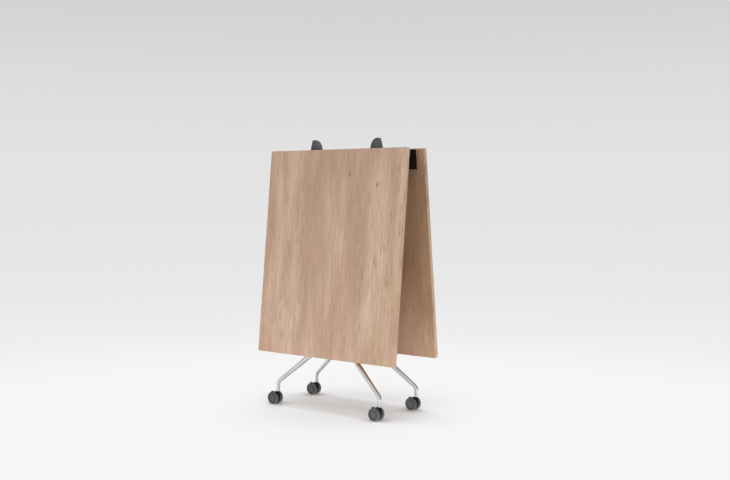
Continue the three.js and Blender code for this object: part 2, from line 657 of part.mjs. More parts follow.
// The housing: a thin web between the wheels, a boss round the stem, and the brake's socket.
function castorHousing() {
  const half = CASTOR_WEB / 2;
  const neck = at(0, CASTOR_HEIGHT - CASTOR_NECK_RADIUS - STEM_COLLAR);
  const socket = BRAKE_KNUCKLE + FIT + BRAKE_SOCKET_WALL;
  const boreFloor = CASTOR_HEIGHT + FIT - STEM_IN_CASTOR - FIT;
  const mouth = new THREE.Shape();
  const open = brakePlace.clone().addScaledVector(brakeRun, BRAKE_LENGTH);
  mouth.moveTo(brakePlace.x, brakePlace.y - BRAKE_KNUCKLE);
  mouth.lineTo(brakePlace.x, brakePlace.y + 2 * socket);
  mouth.lineTo(open.x, open.y + 2 * socket);
  mouth.lineTo(open.x, brakePlace.y - BRAKE_KNUCKLE);
  mouth.closePath();
  return carve([
    alongY(strapOutline(axlePlace, CASTOR_WEB_RADIUS, neck, CASTOR_NECK_RADIUS), -half, half, 7),
    alongY(strapOutline(axlePlace, CASTOR_NECK_RADIUS, brakePlace, socket), -half, half, 5),
    barZ(CASTOR_BOSS_RADIUS, boreFloor - CASTOR_BOSS_FLOOR, CASTOR_HEIGHT, 0, 0),
  ], [
    barZ(bored(STEM_RADIUS), boreFloor, CASTOR_HEIGHT + STEM_COLLAR, 0, 0),
    barY(bored(WHEEL_AXLE_RADIUS), -CASTOR_WEB, CASTOR_WEB, axlePlace.x, axlePlace.y),
    barY(bored(BRAKE_KNUCKLE), -CASTOR_WEB, CASTOR_WEB, brakePlace.x, brakePlace.y),
    alongY(mouth, -CASTOR_WEB, CASTOR_WEB),
  ]);
}

function castorAxle() {
  const half = wheelGap + WHEEL_AXLE_DEPTH - LOOSE_FIT;
  return barY(WHEEL_AXLE_RADIUS, -half, half, axlePlace.x, axlePlace.y);
}

// The stem: pressed into the leg above its collar, turning in the housing below it.
function castorStem() {
  const collar = CASTOR_HEIGHT + FIT;
  return turned([
    [0, collar - STEM_IN_CASTOR], [STEM_RADIUS, collar - STEM_IN_CASTOR], [STEM_RADIUS, collar],
    [STEM_COLLAR_RADIUS, collar], [STEM_COLLAR_RADIUS, collar + STEM_COLLAR],
    [STEM_RADIUS, collar + STEM_COLLAR], [STEM_RADIUS, footZ + STEM_IN_LEG], [0, footZ + STEM_IN_LEG]]);
}

// The brake pedal: a knuckle that snaps into the housing, an arm, and a pad for the toe.
function brakePedal() {
  const tip = brakePlace.clone().addScaledVector(brakeRun, BRAKE_LENGTH);
  const padStart = brakePlace.clone().addScaledVector(brakeRun, BRAKE_PAD_START);
  const half = BRAKE_ARM_WIDTH / 2;
  const padHalf = BRAKE_PAD_WIDTH / 2;
  return carve([
    alongY(strapOutline(brakePlace, BRAKE_KNUCKLE, tip, BRAKE_TIP), -half, half, 4),
    alongY(strapOutline(padStart, BRAKE_TIP, tip, BRAKE_TIP), -padHalf, padHalf, 2),
  ]);
}

// One side of the table, drawn as the back half; the front half is the same turned round.
function tableSide(side, sign) {
  const half = new THREE.Group();
  half.rotation.z = sign > 0 ? 0 : Math.PI;
  const hand = (local) => (local * sign > 0 ? 'right' : 'left');
  const leaf = new THREE.Group();
  leaf.position.set(0, hingeY, hingeZ);
  leaf.rotation.x = FOLDED_TILT - Math.PI / 2;
  leaf.add(piece(`${side}_top_board`, topBoard(), 'oak'));
  for (const local of [-1, 1]) {
    leaf.add(piece(`${side}_rail_${hand(local)}`, carrierRail(local * RAIL_X), 'blackSteel'));
    half.add(piece(`${side}_leg_${hand(local)}`, leg(local), 'chrome'));
    const cap = piece(`${side}_column_cap_${hand(local)}`, columnCap(), 'blackPlastic');
    cap.position.set(local * COLUMN_X, axleY, 0);
    half.add(cap);
  }
  const pinHalf = lugInner + LUG_THICKNESS + LINK_PIN_OVERHANG;
  half.add(
    leaf,
    piece(`${side}_hinge_rod`,
      barX(HINGE_ROD_RADIUS, -rodHalfLength, rodHalfLength, hingeY, hingeZ), 'plainSteel'),
    piece(`${side}_pedestal_axle`,
      barX(AXLE_RADIUS, -rodHalfLength, rodHalfLength, axleY, axleZ), 'plainSteel'),
    piece(`${side}_pedestal_head`, pedestalHead(), 'blackSteel'),
    piece(`${side}_column_clamp`, columnClamp(), 'blackSteel'),
    piece(`${side}_link`, levellingLink(), 'blackSteel'),
    piece(`${side}_link_pin_top`,
      barX(LINK_PIN_RADIUS, -pinHalf, pinHalf, linkTopY, linkTopZ), 'plainSteel'),
    piece(`${side}_link_pin_foot`,
      barX(LINK_PIN_RADIUS, -pinHalf, pinHalf, linkFootY, linkFootZ), 'plainSteel'),
  );
  return half;
}

function castor(name, x, y) {
  const group = new THREE.Group();
  group.position.set(x, y, 0);
  group.add(
    piece(`${name}_castor_stem`, castorStem(), 'plainSteel'),
    piece(`${name}_castor_housing`, castorHousing(), 'greyPlastic'),
    piece(`${name}_castor_axle`, castorAxle(), 'plainSteel'),
    piece(`${name}_castor_brake`, brakePedal(), 'greyPlastic'),
    piece(`${name}_castor_wheel_near`, castorWheel(-1), 'tread'),
    piece(`${name}_castor_wheel_far`, castorWheel(1), 'tread'),
  );
  return group;
}

const table = new THREE.Group();
table.add(tableSide('front', -1), tableSide('back', 1), piece('centre_beam', centreBeam(), 'blackSteel'));
const leverPinHalf = beamHalfWidth(leverZ) - FIT;
for (const [hand, end] of [['left', -1], ['right', 1]]) {
  const fin = piece(`lever_${hand}`, end > 0 ? lever() : mirrored(lever()), 'greyPlastic');
  fin.position.set(end * LEVER_X, 0, leverZ);
  table.add(
    fin,
    piece(`beam_end_cap_${hand}`, beamEndCap(end), 'blackPlastic'),
    piece(`lever_pin_${hand}`,
      barY(LEVER_PIN_RADIUS, -leverPinHalf, leverPinHalf, end * LEVER_X, leverZ), 'plainSteel'),
    castor(`front_${hand}`, end * FOOT_X, -FOOT_Y),
    castor(`back_${hand}`, end * FOOT_X, FOOT_Y),
  );
}

export default table;
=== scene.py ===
"""A centre-folding table on castors, parked folded: its finishes and fine shapes."""
import json
import math

import bmesh
import bpy
from mathutils import Matrix, Vector


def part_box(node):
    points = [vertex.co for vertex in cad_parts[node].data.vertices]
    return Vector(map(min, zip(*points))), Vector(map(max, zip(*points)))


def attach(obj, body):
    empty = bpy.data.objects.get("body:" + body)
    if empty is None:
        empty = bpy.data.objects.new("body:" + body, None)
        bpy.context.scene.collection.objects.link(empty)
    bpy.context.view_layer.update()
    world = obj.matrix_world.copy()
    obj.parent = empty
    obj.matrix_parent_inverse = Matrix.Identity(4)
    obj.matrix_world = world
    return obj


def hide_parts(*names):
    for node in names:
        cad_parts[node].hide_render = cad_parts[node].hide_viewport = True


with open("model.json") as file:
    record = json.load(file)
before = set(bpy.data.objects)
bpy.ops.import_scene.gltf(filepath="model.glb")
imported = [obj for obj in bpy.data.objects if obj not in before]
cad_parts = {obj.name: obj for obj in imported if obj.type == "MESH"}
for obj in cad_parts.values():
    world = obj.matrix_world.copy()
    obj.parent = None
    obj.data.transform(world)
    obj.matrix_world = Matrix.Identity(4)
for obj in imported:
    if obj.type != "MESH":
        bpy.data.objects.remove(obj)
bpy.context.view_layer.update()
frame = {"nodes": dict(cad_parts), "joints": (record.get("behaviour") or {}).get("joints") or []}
scene = bpy.context.scene
scene.view_settings.view_transform = "Standard"


# The camera stands to the right of the front leaf, a little lower than the top of the folded table,
# and looks slightly down, so that both leaves and the gap between them show.
CAMERA_PLACE = (2.760, -3.461, 0.945)
CAMERA_TURN = math.radians(37.5)
CAMERA_DIP = math.radians(2.704)
LENS = 50
SENSOR = 36

camera = bpy.data.objects.new("camera", bpy.data.cameras.new("camera"))
camera.location = CAMERA_PLACE
camera.rotation_euler = (math.pi / 2 - CAMERA_DIP, 0, CAMERA_TURN)
camera.data.lens = LENS
camera.data.sensor_width = SENSOR
scene.collection.objects.link(camera)
scene.camera = camera


# The studio: a pale floor that fades into a pale backdrop, an even white dome, a large soft light
# overhead and a strong bounce from the floor. A faint flag on the left, a dark one on the right and
# a dimmed floor under the table, seen only in reflections, give the chrome its dark edges.
FLOOR_RADIUS = 6.0
FLOOR_SIDES = 96
FLOOR_FADE = (0.9, 2.6)
FLOOR_WHITE = 0.90
FLOOR_LEVEL = 246
FLOOR_BOUNCE = 1.7
SHADOW_REACH = 0.9
SHADOW_SPAN = (0.60, 0.90)
DIM_SPAN = (0.35, 0.95)
DIM_SHARE = 0.3
BACKDROP = {-0.28: 246, -0.18: 245, -0.144: 239, -0.10: 233, -0.045: 229, 0.03: 227, 0.11: 220,
            0.166: 212, 0.30: 198}
DOME_LIGHT = 0.80
KEY_LIGHT = 30
KEY_PLACE = (-0.7, -0.9, 4.2)
KEY_AIM = (0, 0, 0.6)
KEY_SIZE = 3.0
FLAG_NEAR_RIM = (-0.50, -0.25)
FLAG_FAR_RIM = (0.70, 0.90)
FLAG_MEETING = (-0.3, 0.3)
FLAG_SHADES = (0.85, 0.10)


def linear(*levels):
    """Screen levels from 0 to 255 as linear light."""
    shares = [level / 255 for level in levels]
    return [s / 12.92 if s <= 0.04045 else ((s + 0.055) / 1.055) ** 2.4 for s in shares]


def add_node(tree, kind, inputs=None, **settings):
    """One node: its settings, then its inputs by name or number, as a value or another node's output."""
    node = tree.nodes.new(kind)
    for name, value in settings.items():
        setattr(node, name, value)
    for name, value in (inputs or {}).items():
        if isinstance(value, bpy.types.NodeSocket):
            tree.links.new(value, node.inputs[name])
        else:
            node.inputs[name].default_value = value
    return node


def calculate(tree, operation, *values):
    """The result of a Math node."""
    return add_node(tree, "ShaderNodeMath", dict(enumerate(values)), operation=operation).outputs[0]


def remap(tree, value, low, high, new_low=0.0, new_high=1.0, smooth=True):
    """A value carried from one span to another, held at both ends."""
    return add_node(tree, "ShaderNodeMapRange", {0: value, 1: low, 2: high, 3: new_low, 4: new_high},
                    interpolation_type="SMOOTHSTEP" if smooth else "LINEAR").outputs[0]


def link_piece(name, mesh):
    """A new object at the origin for a finished mesh."""
    piece = bpy.data.objects.new(name, mesh)
    scene.collection.objects.link(piece)
    return piece


def mesh_of(bm, name):
    """A bmesh turned into a mesh, with its doubles merged and its faces pointing outwards."""
    bmesh.ops.remove_doubles(bm, verts=bm.verts, dist=1e-6)
    bmesh.ops.recalc_face_normals(bm, faces=bm.faces)
    mesh = bpy.data.meshes.new(name)
    bm.to_mesh(mesh)
    bm.free()
    return mesh


lamp = bpy.data.lights.new("key_light", "AREA")
lamp.size = KEY_SIZE
lamp.energy = KEY_LIGHT
panel = bpy.data.objects.new("key_light", lamp)
panel.location = KEY_PLACE
panel.rotation_euler = (Vector(KEY_AIM) - Vector(KEY_PLACE)).to_track_quat("-Z", "Y").to_euler()
scene.collection.objects.link(panel)

world = bpy.data.worlds.new("studio")
scene.world = world
world.use_nodes = True
sky = world.node_tree
sky.nodes.clear()
way = add_node(sky, "ShaderNodeTexCoord").outputs["Generated"]
height = add_node(sky, "ShaderNodeSeparateXYZ", {0: way}).outputs["Z"]
lowest, highest = min(BACKDROP), max(BACKDROP)
ramp = add_node(sky, "ShaderNodeValToRGB", {0: remap(sky, height, lowest, highest, smooth=False)})
for step, level in BACKDROP.items():
    share = (step - lowest) / (highest - lowest)
    if share in (0.0, 1.0):
        stop = ramp.color_ramp.elements[-1 if share else 0]
    else:
        stop = ramp.color_ramp.elements.new(share)
    stop.color = (*linear(level, level, level), 1)
forwards = (-math.sin(CAMERA_TURN), math.cos(CAMERA_TURN), 0.0)
ahead = add_node(sky, "ShaderNodeVectorMath", {0: way, 1: forwards}, operation="DOT_PRODUCT")
flagged = calculate(sky, "MULTIPLY", remap(sky, ahead.outputs["Value"], *FLAG_NEAR_RIM),
                    remap(sky, ahead.outputs["Value"], *FLAG_FAR_RIM, 1.0, 0.0))
rightwards = (math.cos(CAMERA_TURN), math.sin(CAMERA_TURN), 0.0)
aside = add_node(sky, "ShaderNodeVectorMath", {0: way, 1: rightwards}, operation="DOT_PRODUCT")
flag_shade = remap(sky, aside.outputs["Value"], *FLAG_MEETING, *FLAG_SHADES)
path = add_node(sky, "ShaderNodeLightPath").outputs
mirrored = calculate(sky, "MULTIPLY", path["Is Glossy Ray"], flagged)
seen = calculate(sky, "MAXIMUM", path["Is Camera Ray"],
                 calculate(sky, "MAXIMUM", path["Is Glossy Ray"], path["Is Transmission Ray"]))
shown = add_node(sky, "ShaderNodeBackground", {
    "Color": ramp.outputs["Color"], "Strength": remap(sky, mirrored, 0.0, 1.0, 1.0, flag_shade)})
dome = add_node(sky, "ShaderNodeBackground", {"Color": (1, 1, 1, 1), "Strength": DOME_LIGHT})
either = add_node(sky, "ShaderNodeMixShader", {0: seen, 1: dome.outputs[0], 2: shown.outputs[0]})
add_node(sky, "ShaderNodeOutputWorld", {"Surface": either.outputs[0]})

disc = bmesh.new()
bmesh.ops.create_circle(disc, cap_ends=True, segments=FLOOR_SIDES, radius=FLOOR_RADIUS)
floor = link_piece("studio_floor", mesh_of(disc, "studio_floor"))
if floor.data.polygons[0].normal.z < 0:
    floor.data.flip_normals()
floor_paint = bpy.data.materials.new("studio_floor")
floor_paint.use_nodes = True
tree = floor_paint.node_tree
tree.nodes.clear()
away = add_node(tree, "ShaderNodeVectorMath",
                {0: add_node(tree, "ShaderNodeTexCoord").outputs["Object"]}, operation="LENGTH")
faded = calculate(tree, "MAXIMUM", remap(tree, away.outputs["Value"], *FLOOR_FADE),
                  add_node(tree, "ShaderNodeNewGeometry").outputs["Backfacing"])
lit = add_node(tree, "ShaderNodeBsdfDiffuse", {"Color": (FLOOR_WHITE, FLOOR_WHITE, FLOOR_WHITE, 1)})
plain = add_node(tree, "ShaderNodeEmission", {"Strength": linear(FLOOR_LEVEL)[0]})
open_sky = add_node(tree, "ShaderNodeAmbientOcclusion", {"Distance": SHADOW_REACH}).outputs["AO"]
shaded = add_node(tree, "ShaderNodeMixShader", {
    0: remap(tree, open_sky, *SHADOW_SPAN), 1: lit.outputs[0], 2: plain.outputs[0]})
bounce = add_node(tree, "ShaderNodeEmission", {"Strength": FLOOR_BOUNCE})
path = add_node(tree, "ShaderNodeLightPath").outputs
seen = calculate(tree, "MAXIMUM", path["Is Camera Ray"], path["Is Glossy Ray"])
black = add_node(tree, "ShaderNodeEmission", {"Strength": 0.0})
dimmed = calculate(tree, "MULTIPLY", path["Is Glossy Ray"],
                   remap(tree, away.outputs["Value"], *DIM_SPAN, DIM_SHARE, 0.0))
shown = add_node(tree, "ShaderNodeMixShader", {0: dimmed, 1: shaded.outputs[0], 2: black.outputs[0]})
either = add_node(tree, "ShaderNodeMixShader", {0: seen, 1: bounce.outputs[0], 2: shown.outputs[0]})
clear = add_node(tree, "ShaderNodeBsdfTransparent")
blended = add_node(tree, "ShaderNodeMixShader", {0: faded, 1: either.outputs[0], 2: clear.outputs[0]})
add_node(tree, "ShaderNodeOutputMaterial", {"Surface": blended.outputs[0]})
floor_paint.cycles.emission_sampling = "NONE"
floor.data.materials.append(floor_paint)


# Pedestal tubes: steel tube bent twice, swaged down towards the foot, polished and chromed.
# Two stand side by side as a column and spread apart near the floor to reach the castors.
SIDES = ("front", "back")
HANDS = ("left", "right")
FOOT_BEND_Z = 0.099
FOOT_BEND_RADIUS = 0.032
FOOT_RADIUS = 0.008
COLUMN_BEND_Z = 0.310
COLUMN_BEND_RADIUS = 0.090
TUBE_SIDES = 40
BEND_STEPS = 18
SHARP_FROM = math.radians(38)
CHROME_CLEAN = (0.91, 0.915, 0.92)
CHROME_SMEARED = (0.84, 0.845, 0.85)
SMEAR_SPAN = (0.42, 0.68)


def new_material(name, base, roughness, metallic=0.0):
    """A material with a Principled shader at plain values, its node tree and that shader."""
    material = bpy.data.materials.new(name)
    material.use_nodes = True
    material.diffuse_color = (*base, 1)
    shader = material.node_tree.nodes["Principled BSDF"]
    shader.inputs["Base Color"].default_value = (*base, 1)
    shader.inputs["Roughness"].default_value = roughness
    shader.inputs["Metallic"].default_value = metallic
    return material, material.node_tree, shader


def shader_group(name, inputs, outputs):
    """An empty shader node group with named sockets, and its two end nodes."""
    group = bpy.data.node_groups.new(name, "ShaderNodeTree")
    for label, kind in inputs.items():
        group.interface.new_socket(label, in_out="INPUT", socket_type=f"NodeSocket{kind}")
    for label, kind in outputs.items():
        group.interface.new_socket(label, in_out="OUTPUT", socket_type=f"NodeSocket{kind}")
    return group, group.nodes.new("NodeGroupInput"), group.nodes.new("NodeGroupOutput")


def place_group(tree, group, inputs):
    """A shader node group placed in a material with its own values."""
    return add_node(tree, "ShaderNodeGroup", inputs, node_tree=group)


def noise(tree, vector, scale, detail=2.0, rough=0.5, stretch=None):
    """A noise value, with its pattern squeezed along each axis if asked."""
    if stretch:
        vector = add_node(tree, "ShaderNodeMapping", {"Vector": vector, "Scale": stretch}).outputs[0]
    return add_node(tree, "ShaderNodeTexNoise",
                    {"Vector": vector, "Scale": scale, "Detail": detail, "Roughness": rough}).outputs[0]


def mix_colour(tree, share, first, second, mode="MIX"):
    """Two colours mixed by a share."""
    return add_node(tree, "ShaderNodeMix", {0: share, 6: first, 7: second},
                    data_type="RGBA", blend_type=mode).outputs[2]


def object_place(tree):
    """Object coordinates in metres."""
    return add_node(tree, "ShaderNodeTexCoord").outputs["Object"]


marks, inlet, outlet = shader_group(
    "handling_marks",
    {"Vector": "Vector", "Size": "Float", "Clean Roughness": "Float", "Smeared Roughness": "Float"},
    {"Roughness": "Float", "Smear": "Float"})
blotches = noise(marks, inlet.outputs["Vector"], inlet.outputs["Size"], detail=5.0, rough=0.6)
smear = remap(marks, blotches, *SMEAR_SPAN)
marks.links.new(smear, outlet.inputs["Smear"])
marks.links.new(
    remap(marks, smear, 0.0, 1.0, inlet.outputs["Clean Roughness"], inlet.outputs["Smeared Roughness"]),
    outlet.inputs["Roughness"])

chrome, tree, shader = new_material("polished_chrome", CHROME_CLEAN, 0.07, metallic=1.0)
wiped = place_group(tree, marks, {
    "Vector": object_place(tree), "Size": 18.0, "Clean Roughness": 0.045, "Smeared Roughness": 0.12})
tree.links.new(wiped.outputs["Roughness"], shader.inputs["Roughness"])
tint = mix_colour(tree, wiped.outputs["Smear"], (*CHROME_CLEAN, 1), (*CHROME_SMEARED, 1))
tree.links.new(tint, shader.inputs["Base Color"])


def geometry_tree(name, sizes):
    """A Geometry Nodes tree with named size inputs and a material input, and its two end nodes."""
    tree = bpy.data.node_groups.new(name, "GeometryNodeTree")
    tree.interface.new_socket("Geometry", in_out="INPUT", socket_type="NodeSocketGeometry")
    for label, kind in sizes.items():
        tree.interface.new_socket(label, in_out="INPUT", socket_type=f"NodeSocket{kind}")
    tree.interface.new_socket("Material", in_out="INPUT", socket_type="NodeSocketMaterial")
    tree.interface.new_socket("Geometry", in_out="OUTPUT", socket_type="NodeSocketGeometry")
    return tree, tree.nodes.new("NodeGroupInput"), tree.nodes.new("NodeGroupOutput")


def close_tree(tree, made, inlet, outlet):
    """The end of every tree: real geometry in the tree's material."""
    real = add_node(tree, "GeometryNodeRealizeInstances", {"Geometry": made})
    painted = add_node(tree, "GeometryNodeSetMaterial",
                       {"Geometry": real.outputs[0], "Material": inlet.outputs["Material"]})
    tree.links.new(painted.outputs[0], outlet.inputs[0])


def settled(carrier):
    """The plain mesh of an object with its modifiers applied; the object itself is removed."""
    bpy.context.view_layer.update()
    depsgraph = bpy.context.evaluated_depsgraph_get()
    mesh = bpy.data.meshes.new_from_object(carrier.evaluated_get(depsgraph))
    bpy.data.objects.remove(carrier)
    return mesh


def grown(name, tree, start, values):
    """The mesh that a Geometry Nodes tree makes from a starting mesh and its sizes."""
    carrier = link_piece(name, start)
    modifier = carrier.modifiers.new(name, "NODES")
    modifier.node_group = tree
    for item in tree.interface.items_tree:
        if item.in_out == "INPUT" and item.name in values:
            modifier[item.identifier] = values[item.name]
    return settled(carrier)


def smooth(mesh):
    """Smooth shading, with the sharp edges kept."""
    mesh.shade_smooth()
    mesh.set_sharp_from_angle(angle=SHARP_FROM)
    return mesh


def dress(name, mesh, material, body, slot, *nodes):
    """A finished piece: its material, the body it moves with and the CAD nodes it stands for."""
    if not mesh.materials:
        mesh.materials.append(material)
    piece = link_piece(name, mesh)
    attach(piece, body)
    if nodes:
        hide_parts(*nodes)
    return piece


def middle(node):
    """The middle of a CAD node's box."""
    low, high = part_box(node)
    return (low + high) / 2


def bend(start, corner, end):
    """Points of a smooth bend that leaves and arrives along the lines to its corner."""
    shares = [i / BEND_STEPS for i in range(BEND_STEPS + 1)]
    return [start * (1 - s) ** 2 + corner * 2 * s * (1 - s) + end * s * s for s in shares]


def leg_line(foot, column, bottom, top):
    """Points up the middle of a leg, and the length over which the tube widens."""
    low_corner = Vector((foot.x, foot.y, FOOT_BEND_Z))
    high_corner = Vector((column.x, column.y, COLUMN_BEND_Z))
    up = Vector((0, 0, 1))
    slope = (high_corner - low_corner).normalized()
    half_bend = math.tan(math.acos(slope.z) / 2)
    low_reach = FOOT_BEND_RADIUS * half_bend
    high_reach = COLUMN_BEND_RADIUS * half_bend
    points = [Vector((foot.x, foot.y, bottom))]
    points += bend(low_corner - up * low_reach, low_corner, low_corner + slope * low_reach)
    points += bend(high_corner - slope * high_reach, high_corner, high_corner + up * high_reach)
    taper = sum((b - a).length for a, b in zip(points, points[1:]))
    points.append(Vector((column.x, column.y, top)))
    return points, taper


tube_tree, inlet, outlet = geometry_tree("bent_tube", {
    "Foot Radius": "Float", "Column Radius": "Float", "Taper Length": "Float", "Sides": "Int"})
line = add_node(tube_tree, "GeometryNodeMeshToCurve", {"Mesh": inlet.outputs["Geometry"]})
run = add_node(tube_tree, "GeometryNodeSplineParameter").outputs["Length"]
girth = add_node(tube_tree, "ShaderNodeMapRange", {
    0: run, 2: inlet.outputs["Taper Length"], 3: inlet.outputs["Foot Radius"],
    4: inlet.outputs["Column Radius"]}).outputs[0]
rim = add_node(tube_tree, "GeometryNodeCurvePrimitiveCircle",
               {"Resolution": inlet.outputs["Sides"], "Radius": 1.0}, mode="RADIUS")
skin = add_node(tube_tree, "GeometryNodeCurveToMesh", {
    "Curve": line.outputs[0], "Profile Curve": rim.outputs[0], "Scale": girth, "Fill Caps": True})
close_tree(tube_tree, skin.outputs[0], inlet, outlet)

for side in SIDES:
    for hand in HANDS:
        node = f"{side}_leg_{hand}"
        cap = f"{side}_column_cap_{hand}"
        low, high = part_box(node)
        cap_low, cap_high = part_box(cap)
        points, taper = leg_line(middle(f"{side}_{hand}_castor_stem"), middle(cap), low.z, high.z)
        centre_line = bpy.data.meshes.new(node)
        centre_line.from_pydata(points, [(i, i + 1) for i in range(len(points) - 1)], [])
        tube = grown(f"path_{node}", tube_tree, centre_line, {
            "Foot Radius": FOOT_RADIUS, "Column Radius": (cap_high.x - cap_low.x) / 2,
            "Taper Length": taper, "Sides": TUBE_SIDES, "Material": chrome})
        dress(f"chrome_{node}", smooth(tube), chrome, f"{side}_pedestal", "chrome_tube", node)


# Pedestal fittings: a moulded cap on each column, a cast collar that holds the pair together, and a
# welded fork for the levelling link. Collar and fork are powder coated black.
CAP_ROUND = 0.0012
CAP_LIP = 0.0025
CAP_DISH = 0.0001
PLUG_INSET = 0.0032
PLUG_CHAMFER = 0.0005
COLLAR_ROUND = 0.0014
FORK_ROUND = 0.0008
LATHE_SIDES = 48
FLAT_WITHIN = math.radians(0.5)
ROUNDED_FROM = math.radians(42)
PEBBLE_HEIGHT = 0.0002
DUST = (150, 148, 145)

pebble, inlet, outlet = shader_group(
    "pebbled_surface", {"Vector": "Vector", "Grains": "Float", "Dust": "Float"},
    {"Height": "Float", "Shade": "Float", "Dust": "Float"})
grains = noise(pebble, inlet.outputs["Vector"], inlet.outputs["Grains"], detail=1.0)
pebble.links.new(grains, outlet.inputs["Height"])
clouds = noise(pebble, inlet.outputs["Vector"], 9.0, detail=4.0)
pebble.links.new(remap(pebble, clouds, 0.3, 0.7), outlet.inputs["Shade"])
settling = noise(pebble, inlet.outputs["Vector"], 34.0, detail=5.0, rough=0.7)
pebble.links.new(
    calculate(pebble, "MULTIPLY", remap(pebble, settling, 0.5, 0.8), inlet.outputs["Dust"]),
    outlet.inputs["Dust"])


def pebbled_material(name, dark, pale, roughness, grains, relief, dust, gloss=0.5):
    """A finely textured dark finish, mottled between two greys, with a trace of dust."""
    material, tree, shader = new_material(name, linear(*dark), roughness)
    shader.inputs["Specular IOR Level"].default_value = gloss
    place = object_place(tree)
    surface = place_group(tree, pebble, {"Vector": place, "Grains": grains, "Dust": dust})
    tone = mix_colour(tree, surface.outputs["Shade"], (*linear(*dark), 1), (*linear(*pale), 1))
    dusty = mix_colour(tree, surface.outputs["Dust"], tone, (*linear(*DUST), 1))
    tree.links.new(dusty, shader.inputs["Base Color"])
    handled = place_group(tree, marks, {
        "Vector": place, "Size": 26.0, "Clean Roughness": roughness - 0.06,
        "Smeared Roughness": roughness + 0.10})
    tree.links.new(handled.outputs["Roughness"], shader.inputs["Roughness"])
    bump = add_node(tree, "ShaderNodeBump", {
        "Strength": relief, "Distance": PEBBLE_HEIGHT, "Height": surface.outputs["Height"]})
    tree.links.new(bump.outputs[0], shader.inputs["Normal"])
    return material


black_coat = pebbled_material(
    "black_powder_coat", (22, 22, 23), (28, 28, 29), 0.55, 1400.0, 0.35, dust=0.04, gloss=0.35)
black_moulding = pebbled_material(
    "black_moulding", (7, 7, 7), (11, 11, 11), 0.50, 2200.0, 0.25, dust=0.01, gloss=0.15)


def softened(node, width):
    """A copy of a CAD node with its doubles merged and its sharp edges rounded over."""
    bm = bmesh.new()
    bm.from_mesh(frame["nodes"][node].data)
    bmesh.ops.remove_doubles(bm, verts=bm.verts, dist=1e-6)
    bmesh.ops.dissolve_limit(bm, angle_limit=FLAT_WITHIN, verts=bm.verts, edges=bm.edges)
    mesh = bpy.data.meshes.new(node)
    bm.to_mesh(mesh)
    bm.free()
    carrier = link_piece(f"soft_{node}", mesh)
    rounding = carrier.modifiers.new("rounding", "BEVEL")
    rounding.width = width
    rounding.segments = 2
    rounding.limit_method = "ANGLE"
    rounding.angle_limit = ROUNDED_FROM
    return smooth(settled(carrier))


def turned(name, profile, place, axis="Z", sides=LATHE_SIDES):
    """A shape turned on a lathe from radii and heights, laid along an axis from a place."""
    bm = bmesh.new()
    rings = []
    for radius, height in profile:
        turns = [2 * math.pi * i / sides for i in range(sides)] if radius > 1e-7 else [0.0]
        rings.append([bm.verts.new((radius * math.cos(t), radius * math.sin(t), height)) for t in turns])
    for lower, upper in zip(rings, rings[1:]):
        for i in range(sides):
            j = (i + 1) % sides
            corners = [lower[i % len(lower)], lower[j % len(lower)],
                       upper[j % len(upper)], upper[i % len(upper)]]
            corners = list(dict.fromkeys(corners))
            if len(corners) > 2:
                bm.faces.new(corners)
    lay = {"Z": Matrix.Identity(4), "X": Matrix.Rotation(math.pi / 2, 4, "Y"),
           "Y": Matrix.Rotation(-math.pi / 2, 4, "X")}[axis]
    bm.transform(Matrix.Translation(place) @ lay)
    return smooth(mesh_of(bm, name))


def quarter(centre, radius, start, steps=4):
    """A quarter circle in a profile, from an angle in quarter turns, turning left."""
    angles = [math.pi / 2 * (start + i / steps) for i in range(steps + 1)]
    return [(centre[0] + radius * math.cos(a), centre[1] + radius * math.sin(a)) for a in angles]


for side in SIDES:
    body = f"{side}_pedestal"
    for hand in HANDS:
        node = f"{side}_column_cap_{hand}"
        low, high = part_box(node)
        radius = (high.x - low.x) / 2
        plug = radius - PLUG_INSET
        deep = high.z - low.z
        lip = deep - CAP_LIP
        profile = [(0, 0), (plug - PLUG_CHAMFER, 0), (plug, PLUG_CHAMFER), (plug, lip), (radius, lip)]
        profile += quarter((radius - CAP_ROUND, deep - CAP_ROUND), CAP_ROUND, 0)
        profile += [(radius / 2, deep - CAP_DISH), (0, deep)]
        seat = Vector((middle(node).x, middle(node).y, low.z))
        dress(f"moulded_{node}", turned(node, profile, seat), black_moulding, body, "black_plastic", node)
    dress(f"{side}_cast_collar", softened(f"{side}_column_clamp", COLLAR_ROUND), black_coat, body,
          "black_steel", f"{side}_column_clamp")
    dress(f"{side}_welded_fork", softened(f"{side}_pedestal_head", FORK_ROUND), black_coat, body,
          "black_steel", f"{side}_pedestal_head")


# Rods and pins: bright zinc-plated bar with chamfered ends. A push-on washer near each end of a rod
# keeps it from walking out of its bores.
ROD_CHAMFER = 0.0007
WASHER_RISE = 0.0016
WASHER_THICK = 0.0011
WASHER_CHAMFER = 0.0004
WASHER_LEAN = 0.0003
ROD_WASHER_INSET = 0.004
PIN_WASHER_INSET = 0.0009
ZINC = (0.52, 0.53, 0.54)
ZINC_DARK = (0.42, 0.43, 0.44)
ZINC_PALE = (0.60, 0.61, 0.62)

zinc, tree, shader = new_material("bright_zinc", ZINC, 0.32, metallic=1.0)
place = object_place(tree)
drawn = noise(tree, place, 1.0, detail=3.0, stretch=(30.0, 900.0, 900.0))
shade = mix_colour(tree, drawn, (*ZINC_DARK, 1), (*ZINC_PALE, 1))
tree.links.new(shade, shader.inputs["Base Color"])
handled = place_group(tree, marks, {
    "Vector": place, "Size": 40.0, "Clean Roughness": 0.26, "Smeared Roughness": 0.42})
tree.links.new(handled.outputs["Roughness"], shader.inputs["Roughness"])


